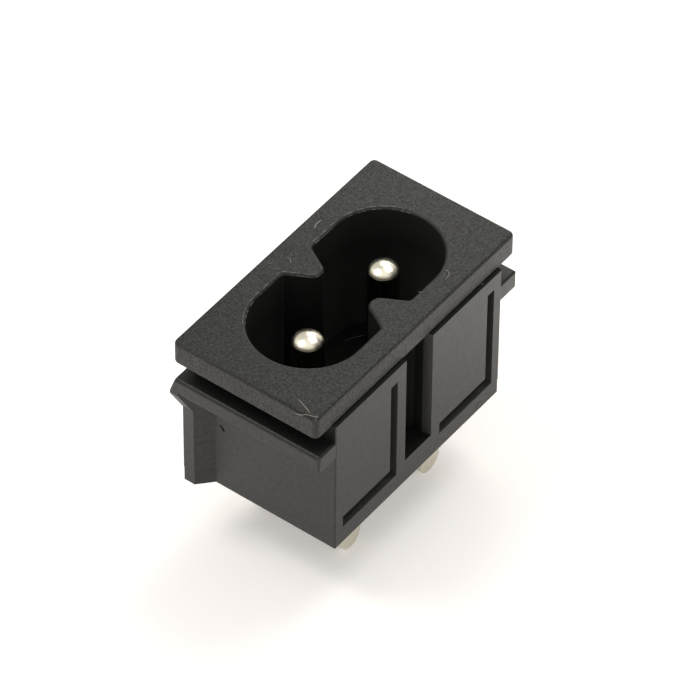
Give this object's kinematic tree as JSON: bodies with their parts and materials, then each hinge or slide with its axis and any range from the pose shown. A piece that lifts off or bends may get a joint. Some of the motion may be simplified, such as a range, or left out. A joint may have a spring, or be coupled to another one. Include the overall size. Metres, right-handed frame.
{
  "type": "two-pole figure-eight appliance inlet",
  "caption": "Moulded appliance inlet: a plate with a figure-eight recess round two pins, end ledges that leave a groove for a panel edge, and solder legs below.",
  "frame": {"origin": "middle of the footprint on the surface that the legs' tips stand on", "axes": "+X along the plate's long side, +Y towards the long side with the hooks, +Z out of the recess, the way a plug leaves"},
  "size_m": [0.0226, 0.0128, 0.0196],
  "materials": {
    "moulding": "black moulding with a fine spark-eroded texture",
    "cover": "black moulding, smooth satin",
    "pin": "nickel-plated turned brass",
    "terminal": "tinned brass strip"
  },
  "bodies": {
    "root": {"housing": "moulding", "back_cover": "cover", "contact_pin_left": "pin", "contact_pin_right": "pin", "terminal_left": "terminal", "terminal_right": "terminal"}
  },
  "joints": []
}
